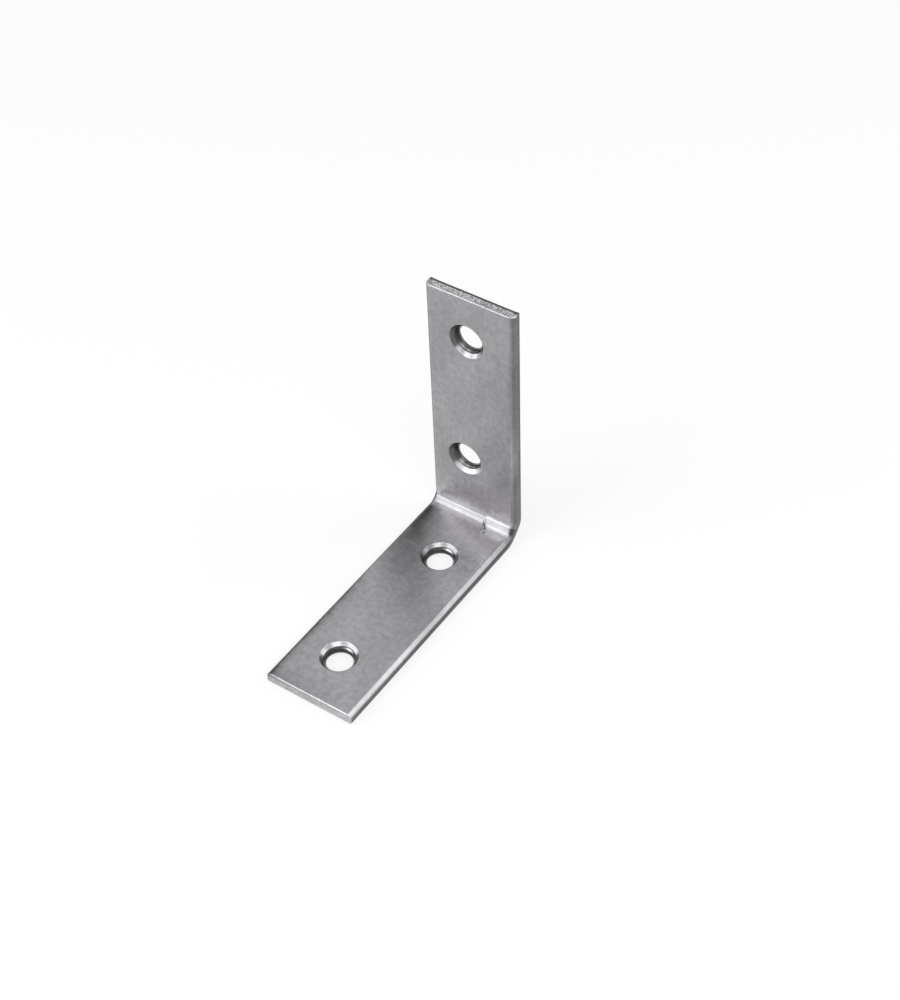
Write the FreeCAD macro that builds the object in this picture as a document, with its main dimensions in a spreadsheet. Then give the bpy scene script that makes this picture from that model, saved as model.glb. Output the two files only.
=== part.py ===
import FreeCAD, Part
import math
import os
import Sketcher

# Corner brace: one piece of zinc-plated strip steel, folded once to a right angle.
# Frame: X across the strip, Y along the base leg (its free end is at -Y, the heel at +Y),
# Z up along the upright leg. The origin is the middle of the footprint, on the underside.

# Driving sizes, in millimetres and degrees
SIZES = {
    "strip_width": 17.0,
    "strip_thickness": 2.0,
    "base_length": 50.0,           # free end to the upright's back
    "upright_height": 50.0,        # underside of the base to the upright's top
    "bend_inner_radius": 1.9,
    "bend_stretch": 0.4,           # the outer radius is this much more than inner radius plus thickness
    "edge_radius": 0.8,            # the long edges of the inner face, drawn down as the strip was slit
    "outer_edge_radius": 0.25,     # the long edges of the outer face, where the slitting blades left it
    "end_roll_radius": 0.3,        # edge drawn in where the shear blade entered
    "end_burr_width": 0.12,        # broken edge where the blade left
    "hole_diameter": 4.5,
    "sink_diameter": 6.6,
    "sink_angle": 90.0,
    "sink_edge_radius": 0.15,
    "base_heel_margin": 13.4,      # upright's back to the nearer hole of the base
    "base_end_margin": 9.2,        # free end to the farther hole of the base
    "upright_heel_margin": 14.7,   # underside to the lower hole of the upright
    "upright_end_margin": 8.8,     # top to the upper hole of the upright
    "base_heel_offset": 0.5,       # each hole's place beside the strip's middle line, towards +X
    "base_end_offset": -0.55,
    "upright_heel_offset": -1.6,
    "upright_end_offset": -0.6,
    "nose_flat": 1.4,              # flat that the bending tool's nose pressed into the inner corner
    "nose_angle": 45.0,
    "nose_crease_radius": 0.3,     # the crease at each side of that flat
    "nose_end": 2.8,               # X where the nose, and so its mark, stops
}

NODE = "corner_brace"
CUT_REACH = 1.0                    # how far a cutting profile stands out of the metal
TOUCH = 1e-4                       # lengths that differ by less than this are the same
ORIGIN = (-1, 1)                   # a sketch's origin, as its constraints name it
HORIZONTAL_AXIS = -1

doc = FreeCAD.newDocument("CornerBrace")
sheet = doc.addObject("Spreadsheet::Sheet", "sizes")
for row, (name, value) in enumerate(SIZES.items(), start=1):
    sheet.set(f"A{row}", name)
    sheet.set(f"B{row}", str(value))
    sheet.setAlias(f"B{row}", name)
doc.recompute()
body = doc.addObject("PartDesign::Body", "Brace")
body.Label = NODE


def size(name):
    """One size's value, as the sheet holds it."""
    return float(getattr(sheet, name))


def new_sketch(name, role, offset=None):
    """A sketch on one of the body's origin planes, moved along the plane's normal by an expression."""
    sketch = body.newObject("Sketcher::SketchObject", name)
    plane = next(item for item in body.Origin.OriginFeatures if item.Role == role)
    sketch.AttachmentSupport = [(plane, "")]
    sketch.MapMode = "FlatFace"
    if offset:
        sketch.setExpression("AttachmentOffset.Base.z", offset)
    doc.recompute()
    return sketch


def add_line(sketch, start, end):
    """A straight edge between two (u, v) places of the sketch, as a first guess for its constraints."""
    return sketch.addGeometry(Part.LineSegment(FreeCAD.Vector(*start, 0), FreeCAD.Vector(*end, 0)), False)


def add_arc(sketch, centre, radius, start_deg, end_deg):
    """An arc that runs anticlockwise from start_deg to end_deg."""
    circle = Part.Circle(FreeCAD.Vector(*centre, 0), FreeCAD.Vector(0, 0, 1), radius)
    arc = Part.ArcOfCircle(circle, math.radians(start_deg), math.radians(end_deg))
    return sketch.addGeometry(arc, False)


def relate(sketch, kind, *members):
    """A constraint that has no size, such as Coincident or Vertical."""
    sketch.addConstraint(Sketcher.Constraint(kind, *members))


def bind(sketch, kind, *members, to):
    """A dimension whose size is an expression in the sheet's names."""
    value = float(sketch.evalExpression(to))
    index = sketch.addConstraint(Sketcher.Constraint(kind, *members, value))
    sketch.setExpression(f"Constraints[{index}]", to)


def finish_sketch(sketch):
    """Solves the sketch and stops unless its constraints leave nothing free."""
    doc.recompute()
    if sketch.solve() != 0 or not sketch.FullyConstrained:
        raise RuntimeError(f"{sketch.Name} isn't fully constrained")


def side_profile():
    """The folded strip seen from the side: two legs of one thickness, joined by two arcs."""
    heel = size("base_length") / 2
    top = size("upright_height")
    wall = size("strip_thickness")
    inner = size("bend_inner_radius")
    outer = inner + wall + size("bend_stretch")
    sketch = new_sketch("side_profile", "YZ_Plane")
    underside = add_line(sketch, (-heel, 0), (heel - outer, 0))
    outer_bend = add_arc(sketch, (heel - outer, outer), outer, -90, 0)
    back = add_line(sketch, (heel, outer), (heel, top))
    top_end = add_line(sketch, (heel, top), (heel - wall, top))
    front = add_line(sketch, (heel - wall, top), (heel - wall, wall + inner))
    inner_bend = add_arc(sketch, (heel - wall - inner, wall + inner), inner, -90, 0)
    seat = add_line(sketch, (heel - wall - inner, wall), (-heel, wall))
    free_end = add_line(sketch, (-heel, wall), (-heel, 0))
    relate(sketch, "Tangent", underside, 2, outer_bend, 1)
    relate(sketch, "Tangent", outer_bend, 2, back, 1)
    relate(sketch, "Coincident", back, 2, top_end, 1)
    relate(sketch, "Coincident", top_end, 2, front, 1)
    relate(sketch, "Tangent", front, 2, inner_bend, 2)
    relate(sketch, "Tangent", inner_bend, 1, seat, 1)
    relate(sketch, "Coincident", seat, 2, free_end, 1)
    relate(sketch, "Coincident", free_end, 2, underside, 1)
    for level in (underside, top_end, seat):
        relate(sketch, "Horizontal", level)
    for upright in (back, front, free_end):
        relate(sketch, "Vertical", upright)
    relate(sketch, "PointOnObject", underside, 1, HORIZONTAL_AXIS)
    bind(sketch, "DistanceX", underside, 1, *ORIGIN, to="sizes.base_length / 2")
    bind(sketch, "DistanceX", underside, 1, back, 2, to="sizes.base_length")
    bind(sketch, "DistanceY", underside, 1, back, 2, to="sizes.upright_height")
    bind(sketch, "DistanceX", top_end, 2, top_end, 1, to="sizes.strip_thickness")
    bind(sketch, "DistanceY", free_end, 2, free_end, 1, to="sizes.strip_thickness")
    bind(sketch, "Radius", inner_bend, to="sizes.bend_inner_radius")
    bind(sketch, "Radius", outer_bend, to="sizes.bend_inner_radius + sizes.strip_thickness + sizes.bend_stretch")
    finish_sketch(sketch)
    return sketch


def folded_strip():
    """The side profile drawn out to the strip's width, the same to each side of the middle."""
    pad = body.newObject("PartDesign::Pad", "folded_strip")
    pad.Profile = side_profile()
    pad.SideType = "Symmetric"
    pad.setExpression("Length", "sizes.strip_width")
    doc.recompute()
    return pad


def named_edges(shape, wanted):
    """The names of the edges for which wanted says yes."""
    return [f"Edge{i}" for i, edge in enumerate(shape.Edges, start=1) if wanted(edge)]


def rounded_edges(name, base, outside, radius):
    """Rounds the two long edges of the inner face or, where outside is true, of the outer face.
    Each is one run of base leg, bend and upright leg."""
    side, back = size("strip_width") / 2, size("base_length") / 2
    free_end, top = -back, size("upright_height")

    def is_wanted(edge):
        box = edge.BoundBox
        on_side = abs(abs(box.XMin) - side) < TOUCH and box.XLength < TOUCH
        on_end = abs(box.YMax - free_end) < TOUCH or abs(box.ZMin - top) < TOUCH
        on_outer_face = box.ZMin < TOUCH or box.YMax > back - TOUCH
        return on_side and not on_end and on_outer_face == outside

    fillet = body.newObject("PartDesign::Fillet", name)
    fillet.Base = (base, named_edges(base.Shape, is_wanted))
    fillet.setExpression("Radius", radius)
    doc.recompute()
    return fillet


def hole_sketch(name, role, offset, heel_place, end_place, heel_offset, end_offset):
    """Two hole centres on a leg's inner face, each given by two expressions."""
    sketch = new_sketch(name, role, offset)
    for along, beside in ((heel_place, heel_offset), (end_place, end_offset)):
        circle = Part.Circle(FreeCAD.Vector(0, 0, 0), FreeCAD.Vector(0, 0, 1), size("hole_diameter") / 2)
        hole = sketch.addGeometry(circle, False)
        bind(sketch, "DistanceX", *ORIGIN, hole, 3, to=beside)
        bind(sketch, "DistanceY", *ORIGIN, hole, 3, to=along)
        bind(sketch, "Diameter", hole, to="sizes.hole_diameter")
    finish_sketch(sketch)
    return sketch


def countersunk_holes(name, sketch):
    """Screw holes through one leg, countersunk on its inner face."""
    hole = body.newObject("PartDesign::Hole", name)
    hole.Profile = sketch
    doc.recompute()
    hole.DepthType = "ThroughAll"
    hole.ThreadType = "None"
    hole.DrillPoint = "Flat"
    hole.HoleCutType = "Countersink"
    hole.HoleCutCustomValues = True
    hole.setExpression("Diameter", "sizes.hole_diameter")
    hole.setExpression("HoleCutDiameter", "sizes.sink_diameter")
    hole.setExpression("HoleCutCountersinkAngle", "sizes.sink_angle")
    doc.recompute()
    return hole


def eased_sinks(base):
    """Rounds each countersink's rim, where the coining punch left no sharp edge."""
    radius = size("sink_diameter") / 2

    def is_rim(edge):
        curve = edge.Curve
        return isinstance(curve, Part.Circle) and abs(curve.Radius - radius) < TOUCH

    fillet = body.newObject("PartDesign::Fillet", "sink_edges")
    fillet.Base = (base, named_edges(base.Shape, is_rim))
    fillet.setExpression("Radius", "sizes.sink_edge_radius")
    doc.recompute()
    return fillet


def pocket(name, sketch, length=None):
    """Cuts a profile away: to one length, or through the whole width where none is given."""
    cut = body.newObject("PartDesign::Pocket", name)
    cut.Profile = sketch
    if length:
        cut.Type = "Length"
        cut.setExpression("Length", length)
    else:
        cut.SideType = "Symmetric"
        cut.Type = "Length"
        cut.setExpression("Length", f"sizes.strip_width + {2 * CUT_REACH}")
    doc.recompute()
    return cut


def corner_cut(sketch, corner, corner_names, inward, depth, depth_name, rounded):
    """A profile that takes one corner off the side view, as an arc or a straight cut.

    corner is the corner's (u, v) and corner_names the same as expressions; inward holds the two signs
    that point into the metal. The cut runs from the end face to the long face, then around outside.
    """
    (u, v), (in_u, in_v) = corner, inward
    on_end = (u, v + in_v * depth)
    on_face = (u + in_u * depth, v)
    past_face = (on_face[0], v - in_v * CUT_REACH)
    outside = (u - in_u * CUT_REACH, v - in_v * CUT_REACH)
    past_end = (u - in_u * CUT_REACH, on_end[1])
    walls = [add_line(sketch, *pair) for pair in (
        (on_face, past_face), (past_face, outside), (outside, past_end), (past_end, on_end))]
    for first, second in zip(walls, walls[1:]):
        relate(sketch, "Coincident", first, 2, second, 1)
    for wall, kind in zip(walls, ("Vertical", "Horizontal", "Vertical", "Horizontal")):
        relate(sketch, kind, wall)
    if rounded:
        # the arc's ends, anticlockwise: the one on the end face comes first at the lower left corner
        turn = {(1, 1): (180, 270), (-1, -1): (0, 90)}[inward]
        edge = add_arc(sketch, (on_face[0], on_end[1]), depth, *turn)
        relate(sketch, "Coincident", walls[3], 2, edge, 1)
        relate(sketch, "Coincident", edge, 2, walls[0], 1)
        relate(sketch, "Vertical", edge, 3, walls[0], 1)
        relate(sketch, "Horizontal", edge, 3, walls[3], 2)
        bind(sketch, "Radius", edge, to=depth_name)
    else:
        edge = add_line(sketch, on_end, on_face)
        relate(sketch, "Coincident", walls[3], 2, edge, 1)
        relate(sketch, "Coincident", edge, 2, walls[0], 1)
        rightward = (edge, 1, edge, 2) if in_u > 0 else (edge, 2, edge, 1)
        upward = (edge, 2, edge, 1) if in_v > 0 else (edge, 1, edge, 2)
        bind(sketch, "DistanceX", *rightward, to=depth_name)
        bind(sketch, "DistanceY", *upward, to=depth_name)
    bind(sketch, "DistanceX", *ORIGIN, walls[3], 2, to=corner_names[0])
    bind(sketch, "DistanceY", *ORIGIN, walls[0], 1, to=corner_names[1])
    bind(sketch, "Distance", walls[0], to=f"{CUT_REACH}")
    bind(sketch, "Distance", walls[3], to=f"{CUT_REACH}")


def sheared_ends():
    """The two cut ends: the edge that the blade entered is drawn in, the other is only broken."""
    heel = size("base_length") / 2
    top = size("upright_height")
    wall = size("strip_thickness")
    roll, burr = size("end_roll_radius"), size("end_burr_width")
    free_end, back = "-sizes.base_length / 2", "sizes.base_length / 2"
    front = "sizes.base_length / 2 - sizes.strip_thickness"
    sketch = new_sketch("end_edges", "YZ_Plane")
    corner_cut(sketch, (-heel, 0), (free_end, "0"), (1, 1), roll, "sizes.end_roll_radius", True)
    corner_cut(sketch, (heel, top), (back, "sizes.upright_height"), (-1, -1), roll, "sizes.end_roll_radius", True)
    corner_cut(sketch, (-heel, wall), (free_end, "sizes.strip_thickness"), (1, -1), burr,
               "sizes.end_burr_width", False)
    corner_cut(sketch, (heel - wall, top), (front, "sizes.upright_height"), (1, -1), burr,
               "sizes.end_burr_width", False)
    finish_sketch(sketch)
    return pocket("sheared_ends", sketch)


def nose_mark():
    """The flat that the bending tool's nose pressed into the inner corner, up to where the nose ends."""
    front = size("base_length") / 2 - size("strip_thickness")
    wall = size("strip_thickness")
    crease = size("nose_crease_radius")
    flat = size("nose_flat")
    reach = size("bend_inner_radius") + CUT_REACH
    slope = math.sqrt(0.5)
    step = crease * (1 - slope)        # a crease's length along its leg, up to the flat
    lift = crease * slope
    upper = (front - step, wall + step + flat * slope)
    lower = (front - step - flat * slope, wall + step)
    sketch = new_sketch("nose_profile", "YZ_Plane", "sizes.nose_end")
    face = add_line(sketch, (front, wall + reach), (front, upper[1] + lift))
    upper_crease = add_arc(sketch, (front - crease, upper[1] + lift), crease, -45, 0)
    middle = add_line(sketch, upper, lower)
    lower_crease = add_arc(sketch, (lower[0] - lift, wall + crease), crease, -90, -45)
    floor = add_line(sketch, (lower[0] - lift, wall), (front - reach, wall))
    closing = add_line(sketch, (front - reach, wall), (front, wall + reach))
    relate(sketch, "Tangent", face, 2, upper_crease, 2)
    relate(sketch, "Tangent", upper_crease, 1, middle, 1)
    relate(sketch, "Tangent", middle, 2, lower_crease, 2)
    relate(sketch, "Tangent", lower_crease, 1, floor, 1)
    relate(sketch, "Coincident", floor, 2, closing, 1)
    relate(sketch, "Coincident", closing, 2, face, 1)
    relate(sketch, "Vertical", face)
    relate(sketch, "Horizontal", floor)
    bind(sketch, "DistanceX", *ORIGIN, face, 1, to="sizes.base_length / 2 - sizes.strip_thickness")
    bind(sketch, "DistanceY", *ORIGIN, floor, 2, to="sizes.strip_thickness")
    bind(sketch, "DistanceY", floor, 2, face, 1, to=f"sizes.bend_inner_radius + {CUT_REACH}")
    bind(sketch, "DistanceX", floor, 2, face, 1, to=f"sizes.bend_inner_radius + {CUT_REACH}")
    bind(sketch, "Radius", upper_crease, to="sizes.nose_crease_radius")
    bind(sketch, "Radius", lower_crease, to="sizes.nose_crease_radius")
    bind(sketch, "Distance", middle, to="sizes.nose_flat")
    bind(sketch, "DistanceY", middle, 2, middle, 1, to="sizes.nose_flat * sin(sizes.nose_angle)")
    finish_sketch(sketch)
    return pocket("nose_mark", sketch, f"sizes.nose_end + sizes.strip_width / 2 + {CUT_REACH}")


def check_document():
    """Stops if any object failed to compute, or the brace isn't one valid solid."""
    for item in doc.Objects:
        if {"Invalid", "Error"} & set(item.State):
            raise RuntimeError(f"{item.Name} failed: {item.State}")
    if body.Shape.isNull() or not body.Shape.isValid() or len(body.Shape.Solids) != 1:
        raise RuntimeError("the brace isn't one valid solid")


def volume_after(feature, before):
    """Prints what a cut took away and stops if it took nothing."""
    left = feature.Shape.Volume
    print(f"{feature.Name}: {before - left:.3f} mm3 removed")
    if not left < before - TOUCH:
        raise RuntimeError(f"{feature.Name} cut nothing")
    return left


strip = folded_strip()
volume = strip.Shape.Volume
inner_edges = rounded_edges("inner_long_edges", strip, False,
                            "min(sizes.edge_radius; sizes.strip_thickness * 0.45)")
volume = volume_after(inner_edges, volume)
outer_edges = rounded_edges("outer_long_edges", inner_edges, True, "sizes.outer_edge_radius")
volume = volume_after(outer_edges, volume)
base_holes = countersunk_holes("base_holes", hole_sketch(
    "base_hole_centres", "XY_Plane", "sizes.strip_thickness",
    "sizes.base_length / 2 - sizes.base_heel_margin", "sizes.base_end_margin - sizes.base_length / 2",
    "sizes.base_heel_offset", "sizes.base_end_offset"))
volume = volume_after(base_holes, volume)
upright_holes = countersunk_holes("upright_holes", hole_sketch(
    "upright_hole_centres", "XZ_Plane", "sizes.strip_thickness - sizes.base_length / 2",
    "sizes.upright_heel_margin", "sizes.upright_height - sizes.upright_end_margin",
    "sizes.upright_heel_offset", "sizes.upright_end_offset"))
volume = volume_after(upright_holes, volume)
sinks = eased_sinks(upright_holes)
volume = volume_after(sinks, volume)
volume = volume_after(sheared_ends(), volume)
volume = volume_after(nose_mark(), volume)
check_document()
os.makedirs("parts", exist_ok=True)
body.Shape.exportStep(f"parts/{NODE}.step")
print(f"{NODE}: {body.Shape.Volume:.1f} mm3, {len(body.Shape.Faces)} faces, box {body.Shape.BoundBox}")
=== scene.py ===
# %% [markdown]
# # A zinc-plated corner brace
#
# The object is a flat steel strip, punched, sheared and folded into an L, then
# zinc plated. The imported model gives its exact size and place, but it is a plain
# solid. One could dress that solid with a material alone. But what makes such a
# brace look real is in its surface: the tool's mark in the fold, the screw sinks
# and the sheared ends. So this lesson builds the same strip again as a fine
# surface with those marks, and then plates, lights and photographs it.

# %% Load the frame
import math

import bmesh
import bpy
import numpy as np
from mathutils import Matrix, Vector


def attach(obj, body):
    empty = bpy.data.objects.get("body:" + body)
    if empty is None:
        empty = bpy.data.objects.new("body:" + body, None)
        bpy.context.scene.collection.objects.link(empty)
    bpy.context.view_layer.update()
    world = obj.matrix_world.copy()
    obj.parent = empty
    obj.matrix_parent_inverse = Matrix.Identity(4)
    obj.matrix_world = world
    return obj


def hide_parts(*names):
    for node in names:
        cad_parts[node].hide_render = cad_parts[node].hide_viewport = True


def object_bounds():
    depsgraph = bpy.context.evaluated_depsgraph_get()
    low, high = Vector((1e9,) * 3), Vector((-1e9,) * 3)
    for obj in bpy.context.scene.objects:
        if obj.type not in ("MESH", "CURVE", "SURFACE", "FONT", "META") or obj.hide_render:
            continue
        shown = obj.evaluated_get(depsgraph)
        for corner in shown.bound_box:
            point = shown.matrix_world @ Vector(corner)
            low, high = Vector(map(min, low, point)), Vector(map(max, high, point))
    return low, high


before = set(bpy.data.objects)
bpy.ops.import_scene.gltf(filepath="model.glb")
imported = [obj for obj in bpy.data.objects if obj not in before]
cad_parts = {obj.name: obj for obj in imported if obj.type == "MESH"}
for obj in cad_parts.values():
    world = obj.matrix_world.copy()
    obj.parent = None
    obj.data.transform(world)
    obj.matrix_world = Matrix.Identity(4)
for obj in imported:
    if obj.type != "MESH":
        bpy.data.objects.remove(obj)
cad_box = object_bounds()
cad_size = cad_box[1] - cad_box[0]
print("CAD box in metres:", cad_box)

# %% [markdown]
# ## The strip before it is folded
#
# A brace like this starts as a flat strip that is slit from a sheet. It could be
# drawn in its folded state, but its shape is far simpler while it is flat. So
# every point gets three flat coordinates first: x across the strip, t along its
# inner face from the free end of the base leg, and d down into the steel from
# the inner face. The fold comes later, as one rule that moves every point. The
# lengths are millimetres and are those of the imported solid, whose box gives the
# width and the length of a leg.

# %% Lengths of the flat strip
MM = 0.001                  # metres in a millimetre
WIDTH = round(cad_size.x / MM, 3)
LEG = round(cad_size.z / MM, 3)     # outside length of each leg
THICKNESS = 2.0
INNER_BEND = 1.9            # radius of the fold on its inner face
OUTER_BEND = 4.3            # radius of the fold on its outer face
EDGE_RADIUS = 0.8           # rounding of the long edges of the inner face
EDGE_ACROSS = 1.05          # how far it reaches across the face
OUTER_EDGE = 0.25           # rounding of the long edges of the outer face
HOLE_RADIUS = 2.25
SINK_RADIUS = 3.3           # rim of the screw sink

HALF_FLAT = WIDTH / 2 - EDGE_ACROSS
BEND_START = LEG - THICKNESS - INNER_BEND
BEND_END = BEND_START + INNER_BEND * math.pi / 2
STRIP_LENGTH = BEND_END + BEND_START


def along_upright(height):
    """The place along the strip that ends up at this height on the upright."""
    return BEND_END + height - THICKNESS - INNER_BEND


# Each hole's place, x across the strip and t along it. From the base leg's free
# end on, they lie 9.2 mm from that end, 13.4 mm from the upright's back, 14.7 mm
# above the underside and 8.8 mm below the top.
HOLES = [(-0.55, 9.2), (0.5, LEG - 13.4),
         (-1.6, along_upright(14.7)), (-0.6, along_upright(LEG - 8.8))]
print("strip, mm:", WIDTH, "wide,", THICKNESS, "thick,", round(STRIP_LENGTH, 3), "long on its inner face")

# %% [markdown]
# ## Rows and columns
#
# The faces are grids of small cells. A boolean cut would leave long thin slivers
# round a hole, and a round hole doesn't sit well in a square grid. So each hole
# gets a square window, and rays run from the hole's rim to the window's border.
# The rows along the strip are set so that each window starts and ends on a row.

# %% Rows along the strip
WINDOW = 5.0                # half the side of a hole's window
SIDE_CELLS = 28             # cells along one side of a window
END_BAND = 0.5              # length left for the shaping of each sheared end

window_ends = [centre + side * WINDOW for _, centre in HOLES for side in (-1, 1)]
stops = [END_BAND, *window_ends[:4], BEND_START, BEND_END, *window_ends[4:], STRIP_LENGTH - END_BAND]
# Cells from each stop to the next, finest through the fold.
cells_between = [9, SIDE_CELLS, 42, SIDE_CELLS, 16, 36, 20, SIDE_CELLS, 40, SIDE_CELLS, 9]
rows = np.concatenate([np.linspace(start, stop, cells, endpoint=False)
                       for start, stop, cells in zip(stops, stops[1:], cells_between)] + [stops[-1:]])
print("rows:", len(rows), "closest, mm:", round(np.diff(rows).min(), 3))

# %% [markdown]
# The columns lean over a little between the holes, because the holes aren't in
# line. In the fold they draw together where the bending tool's mark ends, since
# that end is sharp. Between such key rows, each column is a straight line.

# %% Columns across the strip
NOSE_END = 2.8              # where the bending tool's mark stops, across the strip
OUTER_CELLS = 7             # cells between a window and the long edge
FOLD_MARGIN = 0.8           # run beside the fold in which the columns keep their place


def columns_at_window(middle):
    """Columns of a row that crosses the window of a hole centred at middle:
    equal steps to the window, equal steps across it, and equal steps from it."""
    return np.concatenate([
        np.linspace(-HALF_FLAT, middle - WINDOW, OUTER_CELLS, endpoint=False),
        np.linspace(middle - WINDOW, middle + WINDOW, SIDE_CELLS, endpoint=False),
        np.linspace(middle + WINDOW, HALF_FLAT, OUTER_CELLS + 1)])


last_column = SIDE_CELLS + 2 * OUTER_CELLS
# Columns 15 to 31 stand close together round the place where the mark ends.
columns_at_fold = np.interp(np.arange(last_column + 1),
                            [0, 15, 31, last_column],
                            [-HALF_FLAT, NOSE_END - 0.95, NOSE_END + 0.6, HALF_FLAT])

key_rows = [*window_ends[:4], BEND_START - FOLD_MARGIN, BEND_END + FOLD_MARGIN, *window_ends[4:]]
key_columns = [columns_at_window(middle) for middle, _ in HOLES for _ in range(2)]
key_columns[4:4] = [columns_at_fold] * 2
row_share = np.array([np.interp(rows, key_rows, unit)
                      for unit in np.eye(len(key_rows))]).T
columns = row_share @ np.array(key_columns)
print("grid of each face:", columns.shape)

# %% [markdown]
# ## Collecting the surface
#
# The brace is one closed skin made of several patches: two faces, the windows, the hole walls, two long
# edges and two ends. Each patch is a grid, and its quads follow from its numbering. Next to its flat
# coordinates each point keeps three numbers for the finish: how much it belongs to a torn, light cut face,
# how much painted shade it carries, as in a punched wall or on a rolled-over edge, and how much painted
# highlight it carries.

# %% A list of patches
patches = []


# each point carries a share of torn cut face, a share of painted shade and a share of painted highlight
def add_patch(x, t, d, torn=0.0, dark=0.0, painted_highlight=0.0, keep=None, flip=False):
    """Add a grid of points. Cell (i, j) has the corners (i, j), (i, j+1),
    (i+1, j+1) and (i+1, j); keep is a mask of the cells that are wanted, and
    flip turns the faces over."""
    shape = np.broadcast_shapes(np.shape(x), np.shape(t), np.shape(d))
    points = np.stack([np.broadcast_to(part, shape) for part in (x, t, d, torn, dark, painted_highlight)],
                      axis=-1).reshape(-1, 6)
    index = np.arange(len(points)).reshape(shape)
    quads = np.stack([index[:-1, :-1], index[:-1, 1:], index[1:, 1:], index[1:, :-1]], axis=-1)
    quads = quads[keep] if keep is not None else quads.reshape(-1, 4)
    patches.append((points, quads[:, ::-1] if flip else quads))
    print("patch", len(patches), "points:", len(points), "cells:", len(quads))


# %% [markdown]
# ## Soft steps and bells
#
# Little on the brace starts or ends sharply: wear fades out, and the throat of a
# hole turns slowly into its wall. Two shapes describe nearly all of this, an
# even S from 0 to 1 and a bell. Both work on whole arrays of points at once.

# %% A soft step and a bell
def smooth_step(low, high, value):
    """0 below low, 1 above high, and an even S between them: three times the
    square of the share of the way, less twice its cube."""
    share = np.clip((value - low) / (high - low), 0, 1)
    return share * share * (3 - 2 * share)


def bell(value, width):
    """1 at 0, falling off to both sides: e to the power of minus the square of
    value over width."""
    return np.exp(-(value / width) ** 2)


print("a quarter of the way up the step:", smooth_step(0, 1, 0.25),
      "and at one width of the bell:", round(float(bell(1, 1)), 3))

# %% [markdown]
# ## The two faces
#
# The rolled faces of the sheet are flat until the fold. Each is the plain grid
# without the cells of the four windows. The inner face looks up at d = 0, and
# the outer face down at d = the thickness, so its cells are turned over. Both
# share one grid, so the lines between them run straight through the steel.

# %% Make the two faces
in_window_row = np.zeros(len(rows) - 1, bool)
row_middles = (rows[:-1] + rows[1:]) / 2
for _, centre in HOLES:
    in_window_row |= abs(row_middles - centre) < WINDOW
in_window_column = np.zeros(last_column, bool)
in_window_column[OUTER_CELLS:OUTER_CELLS + SIDE_CELLS] = True
plain_cells = ~(in_window_row[:, None] & in_window_column[None, :])

for depth, flip in ((0.0, False), (THICKNESS, True)):
    add_patch(columns, rows[:, None], depth, keep=plain_cells, flip=flip)
print("cells on the two faces:", 2 * int(plain_cells.sum()))

# %% [markdown]
# ## Holes and screw sinks
#
# A hole is punched and then sunk with a 90 degree tool, so that a screw's head
# can sit flush. Round each rim, rays run out to the border of the hole's window,
# so the cells stay square near the border and get finer towards the rim.

# %% Rays from a hole's rim to its window
turn = np.linspace(0, 2 * np.pi, 4 * SIDE_CELLS + 1)


def window_border():
    """Points on the window's square border, one for each ray. They are evenly
    spaced along the sides, as the face's cells are, and start at the middle of
    the side that lies towards +x."""
    side = np.linspace(-1, 1, SIDE_CELLS + 1)[:-1]
    one = np.ones(SIDE_CELLS)
    x = np.concatenate([one, -side, -one, side])
    t = np.concatenate([side, one, -side, -one])
    start = SIDE_CELLS // 2
    order = (np.arange(4 * SIDE_CELLS + 1) + start) % (4 * SIDE_CELLS)
    return WINDOW * x[order], WINDOW * t[order]


def add_window(middle, centre, rim, depth, flip):
    """Rays from a circle of radius rim to the window's border. The steps along
    a ray widen outwards, with the power 1.25 of their number."""
    border_x, border_t = window_border()
    share = (np.linspace(0, 1, 11) ** 1.25)[:, None]
    x = middle + (1 - share) * rim * np.cos(turn) + share * border_x
    t = centre + (1 - share) * rim * np.sin(turn) + share * border_t
    add_patch(x, t, depth, flip=flip)


print("rays round a hole:", len(turn) - 1)

# %% [markdown]
# Seen as a profile, the rim is eased and the cone runs down at 45 degrees with
# one fine ring on it. Under the cone a steeper throat turns slowly into the
# punched wall, and the punch broke out wider at the back. A sink of two plain
# cones would look turned on a lathe, so each of these is in the profile, which
# then goes once round the middle of the hole.

# %% Profile of a hole, from the inner face to the outer face
EASE = 0.15                 # width of the eased rim on the inner face
THROAT_RADIUS = 2.72        # where the cone ends and the throat starts
THROAT_END = 1.4            # depth at which the throat has become the straight wall
RING_HEIGHT = 0.008         # of the fine ring that the sinking tool left
BREAK_OUT = 0.15            # how much wider the hole is near the outer face
LIP = 0.08                  # width of the eased rim on the outer face

ease_turn = np.linspace(0, math.pi / 4, 5)
ease_radius = EASE / math.tan(math.pi / 8)
rim_r = SINK_RADIUS + EASE - ease_radius * np.sin(ease_turn)
rim_d = ease_radius * (1 - np.cos(ease_turn))
cone_depth = SINK_RADIUS - THROAT_RADIUS
cone_share = np.linspace(0, 1, 13)[1:-1]
cutter_ring = RING_HEIGHT * bell(cone_share - 0.5, 0.09)
cone_r = rim_r[-1] + (THROAT_RADIUS - rim_r[-1]) * cone_share + cutter_ring
cone_d = rim_d[-1] + (cone_depth - rim_d[-1]) * cone_share + cutter_ring
throat_share = np.linspace(0, 1, 13)
throat_r = HOLE_RADIUS + (THROAT_RADIUS - HOLE_RADIUS) * (1 - throat_share) ** 1.25
throat_d = cone_depth + (THROAT_END - cone_depth) * throat_share
wall_d = np.concatenate([np.linspace(THROAT_END + 0.1, THICKNESS - 0.4, 3),
                         np.linspace(THICKNESS - 0.34, THICKNESS - LIP, 4),
                         [THICKNESS - LIP / 3, THICKNESS]])
wall_r = HOLE_RADIUS + BREAK_OUT * smooth_step(THICKNESS - 0.42, THICKNESS - 0.1, wall_d)
wall_r[-2:] += LIP * np.array([0.75, 1.3])
profile_r = np.concatenate([rim_r, cone_r, throat_r, wall_r])
profile_d = np.concatenate([rim_d, cone_d, throat_d, wall_d])
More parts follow.
